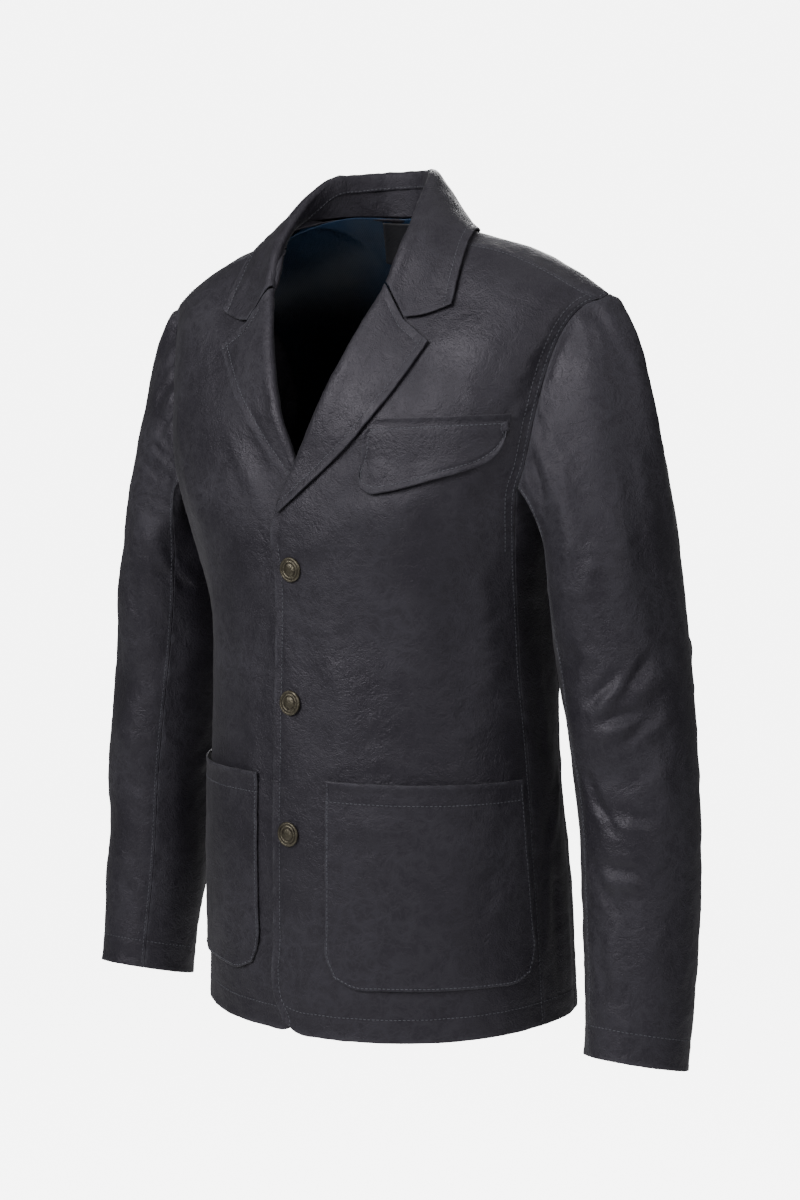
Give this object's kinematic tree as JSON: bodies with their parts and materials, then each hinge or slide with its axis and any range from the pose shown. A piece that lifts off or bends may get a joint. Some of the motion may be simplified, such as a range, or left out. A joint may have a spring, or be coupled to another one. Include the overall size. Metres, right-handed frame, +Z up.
{
  "type": "blazer",
  "caption": "Single-breasted blazer in dark waxed cloth, worn and hollow, with notched lapels, snap front, slanted chest flap and large patch pockets.",
  "frame": {"origin": "midway between the two neck points of the shoulder seams, where the wearer's shoulders carry it", "axes": "+Z up, -Y is the front, +X is the wearer's left"},
  "size_m": [0.6174, 0.276, 0.75],
  "materials": {
    "waxed_cloth": "satin",
    "lining_satin": "satin",
    "label_tape": "matte",
    "aged_brass": "aged"
  },
  "bodies": {
    "root": {"back_left": "waxed_cloth", "back_lining": "lining_satin", "back_right": "waxed_cloth", "chest_flap": "waxed_cloth", "chest_welt": "waxed_cloth", "collar_leaf": "waxed_cloth", "collar_stand": "waxed_cloth", "front_left": "waxed_cloth", "front_right": "waxed_cloth", "lapel_left": "waxed_cloth", "lapel_right": "waxed_cloth", "neck_label": "label_tape", "patch_pocket_left": "waxed_cloth", "patch_pocket_right": "waxed_cloth", "side_left": "waxed_cloth", "side_right": "waxed_cloth", "snap_bottom": "aged_brass", "snap_middle": "aged_brass", "snap_top": "aged_brass", "top_sleeve_left": "waxed_cloth", "top_sleeve_right": "waxed_cloth", "under_sleeve_left": "waxed_cloth", "under_sleeve_right": "waxed_cloth"}
  },
  "joints": []
}
